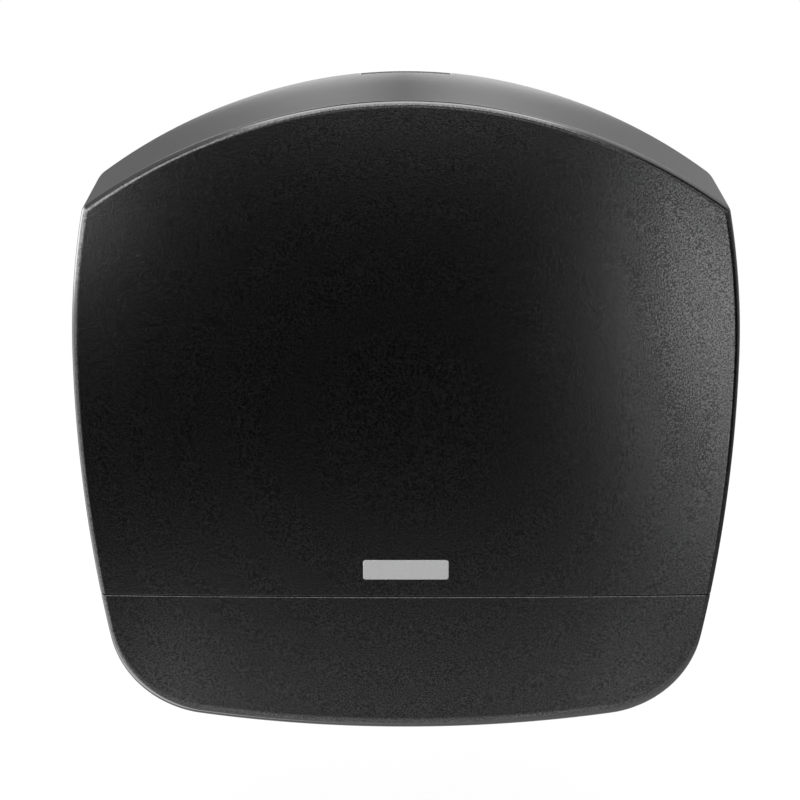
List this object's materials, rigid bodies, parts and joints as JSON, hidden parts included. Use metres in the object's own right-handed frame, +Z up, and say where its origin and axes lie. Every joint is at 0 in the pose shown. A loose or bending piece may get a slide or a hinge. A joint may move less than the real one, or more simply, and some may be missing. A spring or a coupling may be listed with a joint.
{
  "type": "wall-mounted toilet roll dispenser",
  "caption": "Wall-mounted jumbo toilet roll dispenser with an arched, gently domed cover that hinges down at the bottom when a push button at the top rear is pressed.",
  "frame": {"origin": "on the wall plane, at the centre of the four wall-screw holes", "axes": "+Y into the wall, so the front faces -Y; +X to the right seen from the front; +Z up"},
  "size_m": [0.4148, 0.133, 0.4036],
  "materials": {
    "cover_plastic": "moulded ABS, fine spark-eroded grain on the front, satin on the sides",
    "button_plastic": "moulded ABS, satin",
    "inner_plastic": "moulded ABS, satin dark grey",
    "hub_plastic": "moulded acetal, satin mid grey",
    "plate_metal": "fine satin, bare",
    "steel": "zinc-plated steel",
    "spring_steel": "rolled spring strip",
    "tooth_steel": "stamped stainless strip"
  },
  "bodies": {
    "wall_unit": {"wall_plate": "inner_plastic", "hinge_pins": "steel", "latch_housing": "inner_plastic", "housing_screws": "steel", "latch_spring": "spring_steel", "spindle_post": "inner_plastic", "post_screws": "steel", "spindle_cap": "hub_plastic", "spindle_cap_screw": "steel", "stub_post": "inner_plastic", "stub_washer": "steel", "stub_screw": "steel"},
    "cover": {"cover_shell": "cover_plastic", "lower_cover": "cover_plastic", "name_plate": "plate_metal", "cover_screws": "steel", "tear_bar": "tooth_steel", "tear_bar_rivets": "steel", "catch_plate": "steel", "catch_screws": "steel"},
    "release": {"release_button": "button_plastic", "latch_slider": "hub_plastic", "button_screws": "steel"},
    "main_hub": {"roll_hub": "hub_plastic"},
    "spare_hub": {"stub_hub": "hub_plastic"}
  },
  "joints": [
    {"name": "cover_hinge", "type": "hinge", "parent": "wall_unit", "child": "cover", "pos_m": [0, -0.022, -0.186], "axis": [1, 0, 0], "range_deg": [0, 90]},
    {"name": "button_press", "type": "slide", "parent": "wall_unit", "child": "release", "axis": [0, 0, -1], "range_m": [0, 0.005], "stiffness_N_per_m": 400, "springref_m": -0.004, "deforming": ["latch_spring"]},
    {"name": "main_hub_spin", "type": "hinge", "parent": "wall_unit", "child": "main_hub", "pos_m": [0, -0.058, 0.04], "axis": [0, 1, 0], "continuous": true},
    {"name": "spare_hub_spin", "type": "hinge", "parent": "wall_unit", "child": "spare_hub", "pos_m": [0.125, -0.054, -0.112], "axis": [0, 1, 0], "continuous": true}
  ]
}
